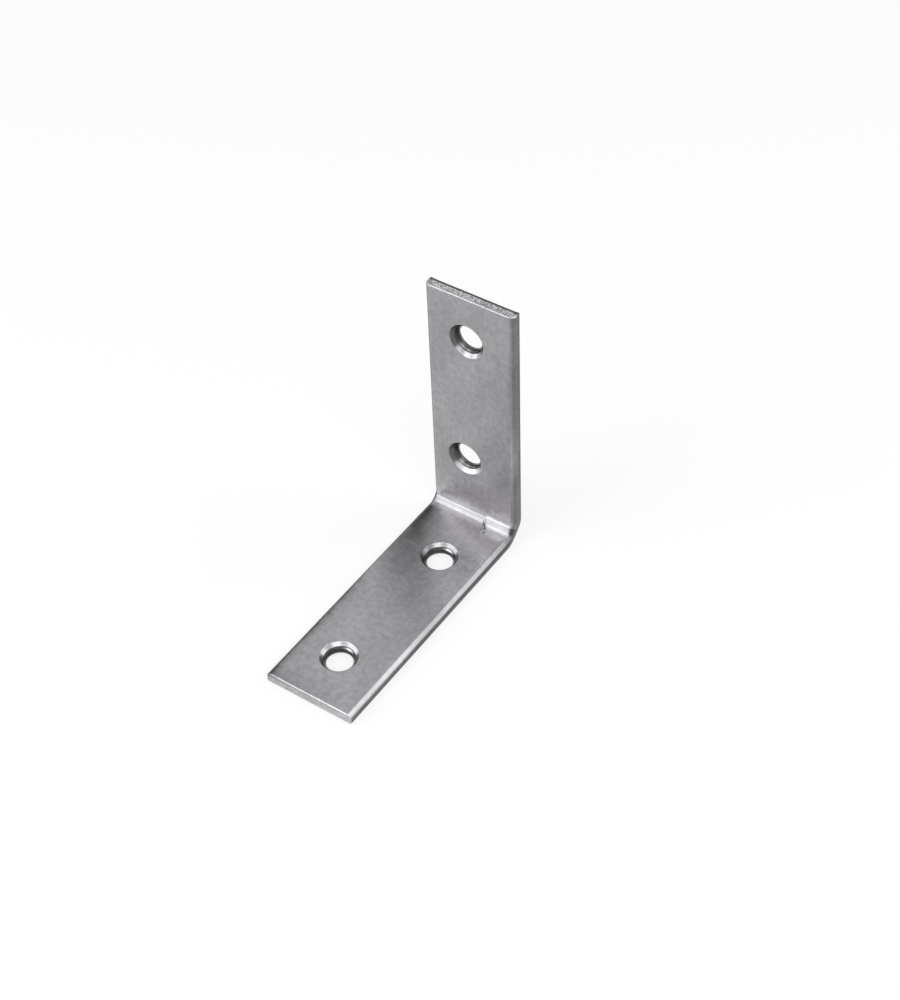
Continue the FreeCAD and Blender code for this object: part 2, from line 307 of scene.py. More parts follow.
print("steps down a hole's wall:", len(profile_r) - 1, "cone depth, mm:", round(cone_depth, 2))

# %% [markdown]
# Down a hole, shade and highlights are painted into the colour. The throat and the wall get painted shade. A
# cone gets a painted highlight on one side and painted shade on the other, and the bright side isn't the
# same in the two legs. So the painting depends on the depth and on the angle once round the hole, which
# starts at the side towards +x.

# %% Painted shade and highlights of a hole, and the four holes
in_throat = smooth_step(cone_depth - 0.03, cone_depth + 0.05, profile_d)
in_cone = smooth_step(0.0, 0.12, profile_d) * (1 - in_throat)


def painted_recess_light(centre):
    """How much painted shade lies down a hole, and how much painted highlight. The throat and the wall get
    painted shade, with thin painted highlight rings on the bright side. So does the cone away from its
    bright side. In a base hole one shoulder of the throat gets a painted highlight, under a thin painted
    dark line."""
    depth = profile_d[:, None]
    if centre < BEND_END:
        bright_side = smooth_step(0.05, 0.45, np.sin(turn - math.radians(35)))
        shoulder = bell(turn - math.radians(84), 0.4)
        rings = 0.15 * bell(depth - 1.3, 0.09)
    else:
        bright_side = smooth_step(0.45, 0.8, np.cos(turn - math.radians(278)))
        shoulder = np.zeros_like(turn)
        rings = bell(depth - 0.95, 0.07) + bell(depth - 1.32, 0.07)
    # painted highlight on one shoulder of a base hole's throat
    shoulder_glint = shoulder * smooth_step(0.66, 0.76, depth) * (1 - smooth_step(0.95, 1.1, depth))
    # painted shade on the throat and the wall, eased by thin painted highlight rings on the bright side, and
    # on the cone away from its bright side
    dark = in_throat[:, None] * (0.88 * (1 - shoulder_glint) - 0.5 * rings * bright_side)
    dark = dark + 0.72 * in_cone[:, None] * (1 - bright_side)
    # a thin painted dark line above the painted shoulder highlight
    dark = dark + 0.6 * shoulder * bell(depth - 0.56, 0.06)
    return np.clip(dark, 0, 1), 1.9 * shoulder_glint


for middle, centre in HOLES:
    dark, painted_highlight = painted_recess_light(centre)
    add_window(middle, centre, profile_r[0], 0.0, flip=True)
    add_window(middle, centre, profile_r[-1], THICKNESS, flip=False)
    add_patch(middle + profile_r[:, None] * np.cos(turn),
              centre + profile_r[:, None] * np.sin(turn),
              profile_d[:, None],
              dark=dark, painted_highlight=painted_highlight)

# %% [markdown]
# ## The long edges
#
# The strip was slit from a wider sheet. The blades drew the inner face's edges
# down, so each of them turns quickly at first, then slowly over a nearly flat
# middle part, and quickly again. Below it the side is flat, and the outer face's
# edges are nearly sharp. A bevel would give all four edges the same round arc.
# Instead, the profile of one edge runs from the inner face round to the outer
# face, and is carried along all rows.

# %% Make the two long edges
def drawn_corner(reach_across, reach_down, steps):
    """Across and down along a corner that turns from 0 to 90 degrees. The turn is
    slow half way: it differs from 45 degrees by the power 1.7 of the distance
    from there. The corner is then scaled to its reach across and down."""
    place = np.linspace(-1, 1, 2 * steps + 1)
    angle = math.pi / 4 * (1 + np.sign(place) * abs(place) ** 1.7)
    across = np.concatenate([[0], np.cumsum(np.cos((angle[1:] + angle[:-1]) / 2))])
    down = np.concatenate([[0], np.cumsum(np.sin((angle[1:] + angle[:-1]) / 2))])
    return reach_across * across[::2] / across[-1], reach_down * down[::2] / down[-1]


inner_across, inner_down = drawn_corner(EDGE_ACROSS, EDGE_RADIUS, 10)
outer_across, outer_down = drawn_corner(OUTER_EDGE, OUTER_EDGE, 5)
edge_x = np.concatenate([HALF_FLAT + inner_across,
                         WIDTH / 2 - OUTER_EDGE + outer_across[::-1], [HALF_FLAT]])
edge_d = np.concatenate([inner_down, THICKNESS - outer_down[::-1], [THICKNESS]])
for side in (-1, 1):
    add_patch(side * edge_x[None, :], rows[:, None], edge_d[None, :], flip=side < 0)
print("steps round an edge:", len(edge_x) - 1)

# %% [markdown]
# ## The sheared ends
#
# The blade pulls the steel over where it enters, cuts a short smooth band and
# then tears the rest, which leaves a burr where it comes out. So the outer edge
# of each end is rolled round, the inner edge is nearly sharp, and the face
# between them slopes back a little and is streaked. First come two helpers: an
# even random field for the streaks, and the strip's outline for the rings.

# %% Noise, and the strip's outline
def lattice_noise(u, v, seed):
    """Random values from -1 to 1 on the whole-number points of a plane. Between
    four of them the value is their mean, weighted by an even S of the distances."""
    table = np.random.default_rng(seed).uniform(-1, 1, (64, 64))
    u, v = np.broadcast_arrays(u, v)
    u0, v0 = np.floor(u).astype(int), np.floor(v).astype(int)
    fu, fv = smooth_step(0, 1, u - u0), smooth_step(0, 1, v - v0)
    near = table[u0 % 64, v0 % 64] * (1 - fu) + table[(u0 + 1) % 64, v0 % 64] * fu
    far = table[u0 % 64, (v0 + 1) % 64] * (1 - fu) + table[(u0 + 1) % 64, (v0 + 1) % 64] * fu
    return near * (1 - fv) + far * fv


def outline(stations):
    """Once round the strip: inner face, right edge, outer face, left edge. Gives
    the points and the directions that lead into the steel: on a face straight
    down into it, and on a rounding towards the rounding's own middle."""
    flat = np.zeros_like(stations)
    x = np.concatenate([stations, edge_x[1:-1], stations[::-1], -edge_x[-2:0:-1], stations[:1]])
    d = np.concatenate([flat, edge_d[1:-1], flat + THICKNESS, edge_d[-2:0:-1], [0.0]])
    across = np.where(d > THICKNESS / 2, OUTER_EDGE, EDGE_ACROSS)
    down = np.where(d > THICKNESS / 2, OUTER_EDGE, EDGE_RADIUS)
    middle_x = np.clip(x, across - WIDTH / 2, WIDTH / 2 - across)
    middle_d = np.clip(d, down, THICKNESS - down)
    return x, d, -np.stack([(x - middle_x) / across, (d - middle_d) / down])


print("points once round the strip:", len(outline(columns[0])[0]))

# %% [markdown]
# Each end is a set of rings. They follow the outline, turn over the edge, and
# then shrink to the middle line of the end face, where they close. An end face
# made as one flat polygon would leave no points to tear. The noise draws the
# face back in fine streaks.

# %% Rings of an end
BURR = 0.27                 # how far the inner edge of an end turns over
MID_HALF = 7.3              # half the middle line on which an end face closes
TEAR_SLOPE = 0.05           # how far the torn part slopes back
STREAK_DEPTH = 0.012        # of the fine streaks that the tear left


def end_rings(stations, roll, seed):
    """Rings from the last row of the faces over the edge and in to the middle
    line, as x, d and the distance back from the end. Over the edge they follow a
    quarter circle, whose radius goes from BURR at the inner face to roll at the
    outer face and is smaller at the outer face's sharp corners. Then each point
    moves straight to its own place on the middle line, drawn back by the slope
    of the torn part and by the streaks."""
    x0, d0, inward = outline(stations)
    corner = BURR + (roll - BURR) * smooth_step(0.3, THICKNESS, d0)
    near_side = (abs(x0) > HALF_FLAT) & (d0 > THICKNESS / 2)
    corner = np.where(near_side, np.minimum(corner, 0.9 * OUTER_EDGE), corner)
    over = np.linspace(0, math.pi / 2, 7)[:, None]
    ring_x = x0 + inward[0] * corner * (1 - np.cos(over))
    ring_d = d0 + inward[1] * corner * (1 - np.cos(over))
    ring_back = corner * (1 - np.sin(over))
    share = (np.linspace(0, 1, 15)[1:, None]) ** 0.9
    middle = np.clip(x0, -HALF_FLAT, HALF_FLAT) * MID_HALF / HALF_FLAT
    cap_x = ring_x[-1] * (1 - share) + middle * share
    cap_d = ring_d[-1] * (1 - share) + THICKNESS / 2 * share
    slope = 1 - smooth_step(0.5, 1.25, cap_d)
    streaks = lattice_noise(cap_x * 1.6 + 20, cap_d * 9 + 7, seed)
    cap_back = TEAR_SLOPE * slope + STREAK_DEPTH * (streaks + 1) * (0.4 + slope)
    cap_back *= smooth_step(0, 0.15, share)
    return (np.concatenate([x0[None], ring_x, cap_x]),
            np.concatenate([d0[None], ring_d, cap_d]),
            np.concatenate([np.full_like(x0, END_BAND)[None], ring_back, cap_back]))


print("rings of an end:", len(end_rings(columns[0], BURR, seed=0)[0]))

# %% [markdown]
# The two ends don't look the same. The one on the base leg has a very narrow band of painted shade by its
# outer edge, and the one on the upright a wide one and a rougher tear. Both were cut in the same way, so one
# function makes them, with other widths. A nick breaks each inner edge at one place.

# %% Make the two ends
NICK_WIDTH, NICK_REACH = 0.3, 0.4       # across the edge, and back from the end


def add_end(stations, nick_x, seed, roll, smooth_band, rough, at_base):
    """An end with its nick and its finish. The band of painted shade by the outer edge is smooth_band wide,
    roll is how far that edge turns over, and rough is how torn the rest looks."""
    x, d, back = end_rings(stations, roll, seed)
    nick = bell(x - nick_x, NICK_WIDTH) * bell(d, NICK_WIDTH) * bell(back, NICK_REACH)
    nick *= 1 - smooth_step(0.3, END_BAND, back)
    back, d = back + 0.1 * nick, d + 0.12 * nick
    on_face = 1 - smooth_step(0.1, 0.3, back)
    # painted shade on the band along the rolled-over outer edge
    dark = on_face * smooth_step(THICKNESS - smooth_band - 0.12, THICKNESS - smooth_band + 0.12, d)
    t = back if at_base else STRIP_LENGTH - back
    torn = rough * (on_face - dark) * smooth_step(BURR * 0.7, BURR * 1.4, d)
    add_patch(x, t, d, torn=torn, dark=dark, flip=at_base)


add_end(columns[0], 2.1, seed=3, roll=0.2, smooth_band=0.15, rough=0.5, at_base=True)
add_end(columns[-1], 2.6, seed=8, roll=0.34, smooth_band=0.6, rough=1.1, at_base=False)
print("patches:", len(patches), "points:", sum(len(points) for points, _ in patches))

# %% [markdown]
# ## The bending tool's mark
#
# The brace is folded over the nose of a tool that is narrower than the strip.
# Where the nose stood, the inner corner has a narrow flat at 45 degrees with a
# crease on each side of it. Where it ended, a step and a short tick cross the
# corner, and past it the steel bent freely to a plain round corner. Seen from
# the middle of the fold, each direction meets the inner face once. So the whole
# corner is one distance that depends on x and on the direction's angle, which
# needs no cutting and no joining of shapes.

# %% Shape of the inner corner
NOSE_FLAT = 1.4             # width of the flat that the nose pressed
NOSE_REACH = math.sqrt(2) * (INNER_BEND - NOSE_FLAT / (2 * math.sqrt(2)))
FREE_BEND = 3.0             # inside radius where the nose didn't reach
FREE_STEP = FREE_BEND - INNER_BEND


def under_nose(x):
    """1 where the tool's nose stood, 0 past its end, with an even S between."""
    return 1 - smooth_step(NOSE_END - 0.12, NOSE_END + 0.12, x)


def soft_least(first, second, sharpness):
    """The smaller of two values, rounded off where they are nearly equal: minus
    the logarithm of the sum of both falling exponentials."""
    return -np.logaddexp(-sharpness * first, -sharpness * second) / sharpness


def corner_radius(x, angle):
    """Distance from the fold's middle to the inner face. Under the nose it is the
    nearest of three planes, softened where they meet. Past it, it is a free arc
    that is wider than the fold and touches both legs: its distance r follows from
    r squared + 2 r c + 2 s squared = R squared, with s the difference of the two
    radii and c the slant of the ray times s. A fine line runs along the middle,
    and slants a little where the steel bent freely."""
    safe = np.clip(angle, 1e-3, math.pi / 2 - 1e-3)
    middle_line = bell(safe - math.pi / 4, 0.07)
    free_line = bell(safe - math.pi / 4 - 0.05 * (x - 6.0), 0.065)
    nose = soft_least(NOSE_REACH / np.cos(safe - math.pi / 4) + 0.055 * middle_line,
                      INNER_BEND / np.cos(safe), 34.0)
    nose = soft_least(nose, INNER_BEND / np.sin(safe), 14.0)
    slant = FREE_STEP * (np.sin(safe) + np.cos(safe))
    free = np.sqrt(slant ** 2 + FREE_BEND ** 2 - 2 * FREE_STEP ** 2) - slant + 0.022 * free_line
    return free + under_nose(x) * (np.maximum(nose, INNER_BEND) - free)


def free_rise(x, before_fold):
    """How far the free arc has already lifted off a leg's inner face, this far
    before the fold begins: the sagitta of the arc, its radius less the other
    side of a right triangle."""
    into_arc = np.clip(FREE_STEP - before_fold, 0, FREE_STEP)
    return (1 - under_nose(x)) * (FREE_BEND - np.sqrt(FREE_BEND ** 2 - into_arc ** 2))


print("middle of the fold to the nose's flat, mm:", round(NOSE_REACH, 3))

# %% [markdown]
# ## Folding the strip
#
# Every point lies on a line from the inner face to the outer face. Both faces
# fold round their own circles: the inner one is tight, the outer one wider,
# because the steel stretched and thinned there. The outer face also drew in
# across the strip. Small unevenness from the rolling mill moves the inner face
# only, so the two faces that touch the wall and the floor stay flat. A bend
# modifier would keep the thickness the same all round and leave no mark.

# %% Small shapes of the inner face
def mill_waves(x, t):
    """Slow hollows and rises of the inner face, in millimetres: two slanted sine
    waves and a little noise."""
    return (0.010 * np.sin(0.21 * t + 0.35 * x + 1.0) + 0.007 * np.sin(0.47 * t - 0.5 * x)
            + 0.004 * lattice_noise(x / 2.2 + 9, t / 3.5, seed=21))


def tool_tick(x, t):
    """The groove that the nose's corner left at its end, from 0 to 1: a bell
    across it, which slants to the right on its way down and ends softly. A
    shorter one lies to the left of its middle."""
    past = (BEND_START + BEND_END) / 2 - t
    slant = 0.45 * np.clip(past, -0.6, 3.2)
    groove = bell(x - NOSE_END + 0.1 - slant, 0.14)
    groove *= smooth_step(-0.4, 0.1, past) * (1 - smooth_step(2.4, 3.2, past))
    groove *= 0.75 + 0.25 * np.sin(9 * past)
    second = bell(x - NOSE_END + 0.55 - slant, 0.11)
    second *= smooth_step(0.0, 0.4, past) * (1 - smooth_step(0.9, 1.4, past))
    return groove + 0.8 * second


waves = mill_waves(columns, rows[:, None])
print("mill waves, mm:", round(waves.min(), 3), "to", round(waves.max(), 3))

# %% Fold every point
OUTER_SLIP = OUTER_BEND - THICKNESS - INNER_BEND
SLIP_RUN = 3.0              # run beside the fold in which the outer face catches up
DRAW_IN = 0.18              # how much narrower the outside of the fold is, each side
TICK_DEPTH = 0.075


def fold(x, t, d):
    """Where a point of the flat strip ends up. Its inner point goes round an arc
    with the corner's own radius, its outer point round a wider circle, and the
    point itself lies between them at the share that its depth gives."""
    angle = np.clip((t - BEND_START) / INNER_BEND, 0, math.pi / 2)
    base_run, up_run = np.minimum(t, BEND_START), np.maximum(t - BEND_END, 0)
    in_fold = (t >= BEND_START) & (t <= BEND_END)
    radius = np.where(in_fold, corner_radius(x, angle), INNER_BEND)
    inner_y = base_run + radius * np.sin(angle)
    inner_z = THICKNESS + INNER_BEND - radius * np.cos(angle) + up_run
    slip_base = smooth_step(BEND_START - SLIP_RUN, BEND_START, base_run)
    slip_up = 1 - smooth_step(0, SLIP_RUN, up_run)
    outer_y = base_run - OUTER_SLIP * slip_base + OUTER_BEND * np.sin(angle)
    outer_z = OUTER_BEND * (1 - np.cos(angle)) + up_run
    outer_z = np.where(up_run > 0, THICKNESS + INNER_BEND + OUTER_SLIP * slip_up + up_run, outer_z)
    beside_fold = np.where(t < BEND_START, BEND_START - t, t - BEND_END)
    lifted = np.where(beside_fold > 0, free_rise(x, beside_fold), 0)
    sunk = mill_waves(x, t) + TICK_DEPTH * tool_tick(x, t) - lifted
    share = (d + (1 - d / THICKNESS) * sunk) / THICKNESS
    narrow = 1 - DRAW_IN / (WIDTH / 2) * np.sin(angle * 2) ** 2 * (d / THICKNESS)
    y = inner_y * (1 - share) + outer_y * share - LEG / 2
    z = inner_z * (1 - share) + outer_z * share
    return np.stack([x * narrow, y, z], axis=-1)


starts = np.cumsum([0] + [len(points) for points, _ in patches])
flat = np.concatenate([points for points, _ in patches])
quads = np.concatenate([cells + start for (_, cells), start in zip(patches, starts)])
strip_x, strip_t, strip_d, torn_share, painted_recess_and_end_shade, painted_highlight_share = flat.T
folded = fold(strip_x, strip_t, strip_d)
print("folded box, mm:", folded.min(axis=0).round(3), folded.max(axis=0).round(3))

# %% [markdown]
# ## Where shade and light are painted
#
# The sides and the fold get painted shade, and some places beside the fold get painted highlights and
# painted light. These places belong to the shape, and a random pattern in the material wouldn't find them.
# So they are worked out per point, in the flat coordinates. The painted shade of the sides comes first.

# %% Painted shade on the sides
def painted_edge_shade(x, t, d):
    """How much painted shade lies on the long edges, from 0 to 1. The left edge is shaded from its rounding
    on. The right edge is too on the upright, but only below the rounding on the base leg, whose upper edge
    is left light. Where the fold meets that edge there is a small painted dark spot, and the grooves at the
    nose's end get painted shade inside."""
    # painted shade on the long edges, from the rounding on at the left
    round_share = np.clip((abs(x) - HALF_FLAT) / EDGE_ACROSS, 0, 1)
    from_rounding = smooth_step(0.1, 0.8, round_share)
    below_rounding = smooth_step(0.5, 0.95, d + 0.12 * smooth_step(5, 42, t))
    below_rounding *= smooth_step(0, 0.3, round_share)
    upright = smooth_step(BEND_START, BEND_END, t)
    right = smooth_step(0, 0.7, round_share) * upright + below_rounding * (1 - upright)
    right_depth = 0.9 - (0.33 - 0.25 * smooth_step(0.9, 1.5, d)) * upright
    edge = np.where(x < 0, 0.85 * from_rounding, right_depth * right)
    edge *= 1 - smooth_step(1.85, 2.0, d)
    edge *= smooth_step(0.05, 0.25, np.minimum(t, STRIP_LENGTH - t))
    # a painted dark spot where the fold meets the right edge
    painted_dark_spot = bell(x - 8.1, 0.35) * bell(t - BEND_START - 1.3, 0.9) * bell(d, 0.6)
    # painted shade inside the grooves at the nose's end
    return np.clip(edge + painted_dark_spot + 1.5 * tool_tick(x, t) * (d < 0.3), 0, 1)


# painted shade of the holes, the ends and the long edges
painted_shade_total = np.maximum(painted_recess_and_end_shade, painted_edge_shade(strip_x, strip_t, strip_d))
print("share of the points that are dull:", round(float((painted_shade_total > 0.5).mean()), 3))

# %% [markdown]
# The base leg has a painted dark reflection, a streak that starts in the fold's left end and swings out
# towards its free end, and painted shade along its left edge. The upright has a painted lighter band across
# its foot. Each is a bell whose middle and width move with the distance from the fold. Noise breaks up its
# border, so that it isn't clean.

# %% Painted streak, band and edge shade
def painted_dark_reflection(x, t):
    """The painted dark reflection, a streak from 0 to 1. It starts at the left edge beside the fold and
    swings to the right on its way to the free end: its middle moves with the square of the distance from the
    fold. It gets wider and weaker."""
    from_fold = np.maximum(BEND_START - t, 0)
    middle = -8.0 + 0.023 * from_fold ** 2
    width = np.minimum(1.2 + 0.45 * from_fold, 4.6 + 0.09 * from_fold)
    uneven = 1 + 0.1 * lattice_noise(x / 1.3 + 5, t / 1.3, seed=33)
    return uneven * bell(from_fold, 20) * bell(x - middle, width)


def painted_light_band(x, t):
    """The painted lighter band that slants up across the upright from the fold's left end, from 0 to 1. It
    evens out what the upright mirrors of the painted dark streak. Near the fold it is wider on its right."""
    rise = np.maximum(t - BEND_END, 0)
    middle = -7.0 + 0.85 * rise + 0.006 * rise ** 2
    width = 0.3 + 0.4 * rise + 0.9 * (x > middle) * np.exp(-rise / 4)
    return smooth_step(0, 1.8, rise) * np.exp(-rise / 14) * bell(x - middle, width)


def painted_left_shade(x, t):
    """The painted shade along the base leg's left edge, from 0 to 1. It falls off with the distance from the
    edge, ends half way to the fold, and fans out over the corner at the free end."""
    from_edge = np.maximum(x + 8.1, 0)
    along = np.exp(-from_edge / 0.65) * (1 - smooth_step(22, 29, t))
    along *= 0.95 + 0.3 * lattice_noise(x * 1.2 + 30, t * 2.3, seed=41)
    corner = bell(t, 2.4) * np.exp(-from_edge / 5)
    corner *= 1 + 0.5 * lattice_noise(x * 1.5 + 3, t * 1.5, seed=43)
    return 0.95 * along + 0.4 * corner


for tone_part in (painted_dark_reflection, painted_light_band, painted_left_shade):
    strength = tone_part(columns, rows[:, None])
    print(tone_part.__name__, "is strongest", round(float(strength.max()), 2),
          "at row", int(strength.max(axis=1).argmax()))

# %% [markdown]
# Beside the tool's mark lies a painted highlight, more above it than below. Past the nose's end the free
# bend gets painted shade, a little darker than its two borders. These bands follow the fold, so they are
# given by the distance along the strip from the fold's middle line. All parts then add up to one tone of
# painted light and shade, a factor on the colour.

# %% Painted light and shade of the plating
CREASE, CREASE_END = 0.67, 0.75     # from the fold's middle line to the nose's creases


def painted_crease_highlight(x, from_middle):
    """How much painted highlight lies beside the mark. It starts at the creases and falls off exponentially
    away from them, and swells on both sides of the free bend."""
    above = smooth_step(CREASE - 0.07, CREASE + 0.07, from_middle)
    above *= np.exp(-np.maximum(from_middle - CREASE_END, 0) / (0.85 - 0.03 * x))
    below = smooth_step(CREASE - 0.07, CREASE + 0.07, -from_middle)
    below *= np.exp(-np.maximum(-CREASE_END - from_middle, 0) / 0.3)
    swell = 0.6 * bell(from_middle + 2.0, 0.9) + 0.28 * bell(from_middle - 2.1, 0.8)
    swell *= smooth_step(NOSE_END, NOSE_END + 1.2, x) * (1 - smooth_step(7.2, 8.0, x))
    return 0.85 * above + 0.4 * below + swell


def painted_mark_shade(x, from_middle):
    """How much painted shade lies inside the mark and inside the free bend. The free bend's shade gets
    lighter upwards, but for its fine middle line. Both end with the fourth power of the distance, so they
    are even inside."""
    free = (1 - under_nose(x)) * np.exp(-(from_middle / 1.6) ** 4)
    free *= 0.15 - 0.1 * from_middle + 0.08 * bell(from_middle - 0.1 * (x - 6), 0.1)
    return free + 0.13 * under_nose(x) * np.exp(-(from_middle / 1.1) ** 4)


def painted_shade_and_light(x, t, d):
    """How light the plating is painted, as a factor: 1 plus all painted light, less all painted shade, on
    the inner face only. The upper right edge of the base leg gets painted shade towards the fold, and the
    base leg's free end is light."""
    on_inside = 1 - smooth_step(0.3, 1.2, d)
    on_base = 1 - smooth_step(BEND_START - 0.5, BEND_START + 0.4, t)
    from_middle = t - (BEND_START + BEND_END) / 2
    # painted shade on the base leg beside the fold
    painted_fold_shade = 0.18 * bell(np.maximum(BEND_START - t, 0), 4.5)
    tone = 1 + painted_crease_highlight(x, from_middle) - painted_mark_shade(x, from_middle) + 1.3 * painted_light_band(x, t)
    tone -= (0.78 * painted_dark_reflection(x, t) + painted_left_shade(x, t) + painted_fold_shade) * on_base
    # painted shade on the base leg's upper right edge, growing towards the fold
    tone -= 0.35 * smooth_step(HALF_FLAT + 0.15, HALF_FLAT + 0.6, x) * smooth_step(5, 42, t) * on_base
    return 1 + (np.maximum(tone, 0.15) - 1) * on_inside + 0.25 * (1 - smooth_step(0.1, 0.3, t))


# painted light and shade of the inner face, plus the painted highlights down the holes
painted_tone_values = painted_shade_and_light(strip_x, strip_t, strip_d) + painted_highlight_share
print("tone of the plating:", round(float(painted_tone_values.min()), 2), "to", round(float(painted_tone_values.max()), 2))

# %% [markdown]
# ## One closed skin
#
# The real brace is one solid piece, so its surface has to be closed. The patches
# share their borders, so points that fall together are merged, and the result
# has no open edge. Shading is smooth, except where two faces meet at more than
# 38 degrees. The flat coordinates stay on the mesh as an attribute: the finish
# uses them to run its streaks along the strip, round the fold and all.

# %% Build the mesh
MERGE_DISTANCE = 2e-6       # metres, far less than the smallest cell
SHARP_ANGLE = math.radians(38)

mesh = bpy.data.meshes.new("zinc_strip")
mesh.from_pydata((folded * MM).tolist(), [], quads.tolist())
strip_place = mesh.attributes.new("strip_place", "FLOAT_VECTOR", "POINT")
strip_place.data.foreach_set("vector", np.ascontiguousarray(flat[:, :3], np.float32).ravel())
# the painted shade and painted light go onto the mesh as attributes
for name, values in (("torn_steel", torn_share), ("painted_shade", painted_shade_total), ("painted_shade_and_light", painted_tone_values)):
    layer = mesh.attributes.new(name, "FLOAT", "POINT")
    layer.data.foreach_set("value", np.ascontiguousarray(values, np.float32))

work = bmesh.new()
work.from_mesh(mesh)
bmesh.ops.remove_doubles(work, verts=work.verts, dist=MERGE_DISTANCE)
bmesh.ops.dissolve_degenerate(work, dist=1e-7, edges=work.edges)
bmesh.ops.recalc_face_normals(work, faces=work.faces)
open_edges = sum(1 for edge in work.edges if len(edge.link_faces) != 2)
volume = work.calc_volume(signed=True)
work.to_mesh(mesh)
work.free()
mesh.shade_smooth()
mesh.set_sharp_from_angle(angle=SHARP_ANGLE)

brace = bpy.data.objects.new("zinc_strip", mesh)
bpy.context.scene.collection.objects.link(brace)
print("faces:", len(mesh.polygons), "open edges:", open_edges,
      "volume, mm3:", round(volume / MM ** 3, 1))

# %% [markdown]
# ## The zinc finish
#
# Bright zinc on rolled steel is a satin grey with a faint violet tone. It isn't
# even: the strip's rolling lines show through as streaks along it, the zinc
# grows in tiny crystals that look like speckle, and the plating is duller in
# slow patches. A photograph of zinc would show its own light and repeat itself.
# So the colour and the roughness come from several layers of noise. First come
# helpers, since a material is a tree of nodes that are linked to each other.

# %% Helpers for shader nodes
def add_node(tree, kind, inputs=None, **settings):
    """Make a node, set its settings, and set or link its inputs."""
    node = tree.nodes.new(kind)
    for name, value in settings.items():
        setattr(node, name, value)
    for name, value in (inputs or {}).items():
        if isinstance(value, bpy.types.NodeSocket):
            tree.links.new(value, node.inputs[name])
        else:
            node.inputs[name].default_value = value
    return node


def stretched_noise(tree, vector, stretch, scale, detail=2.0, roughness=0.5, shift=(0, 0, 0)):
    """Noise whose coordinates are stretched and shifted first."""
    mapped = add_node(tree, "ShaderNodeMapping",
                      {"Vector": vector, "Scale": stretch, "Location": shift})
    noise = add_node(tree, "ShaderNodeTexNoise",
                     {"Vector": mapped.outputs["Vector"], "Scale": scale,
                      "Detail": detail, "Roughness": roughness})
    return noise.outputs["Fac"]


def remap(tree, value, low, high, to_low, to_high):
    """Turn the range low to high into to_low to to_high, along an even S, and
    stop at both ends."""
    node = add_node(tree, "ShaderNodeMapRange",
                    {"Value": value, "From Min": low, "From Max": high,
                     "To Min": to_low, "To Max": to_high},
                    interpolation_type="SMOOTHSTEP")
    return node.outputs["Result"]


def combine(tree, operation, first, second):
    """One operation on two values or outputs."""
    node = add_node(tree, "ShaderNodeMath", {0: first, 1: second}, operation=operation)
    return node.outputs[0]


def read_attribute(tree, name, output="Fac"):
    """One of the numbers that the mesh keeps for each point."""
    return add_node(tree, "ShaderNodeAttribute", attribute_name=name).outputs[output]


# %% What the zinc reads
zinc = bpy.data.materials.new("satin_zinc")
zinc.use_nodes = True
tree = zinc.node_tree
shader = tree.nodes["Principled BSDF"]
shader.inputs["Metallic"].default_value = 1.0

body_place = add_node(tree, "ShaderNodeTexCoord").outputs["Object"]
strip_coord = read_attribute(tree, "strip_place", "Vector")
torn_steel = read_attribute(tree, "torn_steel")
# painted shade of the holes, the ends and the long edges
painted_shade = read_attribute(tree, "painted_shade")
# painted light and shade of the inner face and painted highlights in the holes
painted_tone = read_attribute(tree, "painted_shade_and_light")
print("layers read from the mesh:", [node.attribute_name for node in tree.nodes if node.type == "ATTRIBUTE"])

# %% [markdown]
# The speckle reads the object's own coordinates, because crystals have no direction. The rolling lines read
# the flat coordinates, stretched along the strip. All layers and the numbers of each point, among them
# painted shade and painted light, multiply into one tone, which scales one grey.

# %% Colour of the zinc
ZINC_GREY = (0.34, 0.334, 0.347)

crystals = stretched_noise(tree, body_place, (1, 1, 1), 1000, detail=3, roughness=0.65)
slow_patches = stretched_noise(tree, strip_coord, (1, 0.6, 1), 0.16, detail=3, shift=(3, 1, 0))
rolling_lines = stretched_noise(tree, strip_coord, (2.2, 0.03, 2.2), 1.0, detail=3, roughness=0.6)

tear_streaks = stretched_noise(tree, strip_coord, (1.5, 0.5, 3.2), 1.8, detail=4, roughness=0.7)
torn_tone = combine(tree, "MULTIPLY", torn_steel, remap(tree, tear_streaks, 0.35, 0.65, -0.65, 0.3))

tone = remap(tree, crystals, 0.3, 0.7, 0.89, 1.11)
for layer in (remap(tree, rolling_lines, 0.3, 0.7, 0.97, 1.03),
              remap(tree, slow_patches, 0.35, 0.65, 0.94, 1.05),
              remap(tree, torn_steel, 0, 1, 1.0, 1.4),
              remap(tree, painted_shade, 0, 1, 1.0, 0.2),
              painted_tone,
              combine(tree, "ADD", torn_tone, 1.0)):
    tone = combine(tree, "MULTIPLY", tone, layer)
colour = add_node(tree, "ShaderNodeVectorMath", {0: ZINC_GREY, "Scale": tone},
                  operation="SCALE").outputs["Vector"]
tree.links.new(colour, shader.inputs["Base Color"])
print("grey of the zinc before its tone:", ZINC_GREY)

# %% [markdown]
# Satin zinc spreads a reflection, but still shows where the light comes from.
# Torn steel spreads it more. The crystals and the rolling lines are too fine for
# the mesh, so they only tilt the surface, by heights of a few hundredths of a
# millimetre.

# %% Roughness and relief of the zinc
CRYSTAL_HEIGHT, LINE_HEIGHT = 0.02 * MM, 0.03 * MM

rough = combine(tree, "ADD", remap(tree, crystals, 0.3, 0.7, -0.03, 0.03),
                remap(tree, slow_patches, 0.35, 0.65, 0.34, 0.29))
rough = combine(tree, "ADD", rough, remap(tree, torn_steel, 0, 1, 0.0, 0.14))
tree.links.new(rough, shader.inputs["Roughness"])

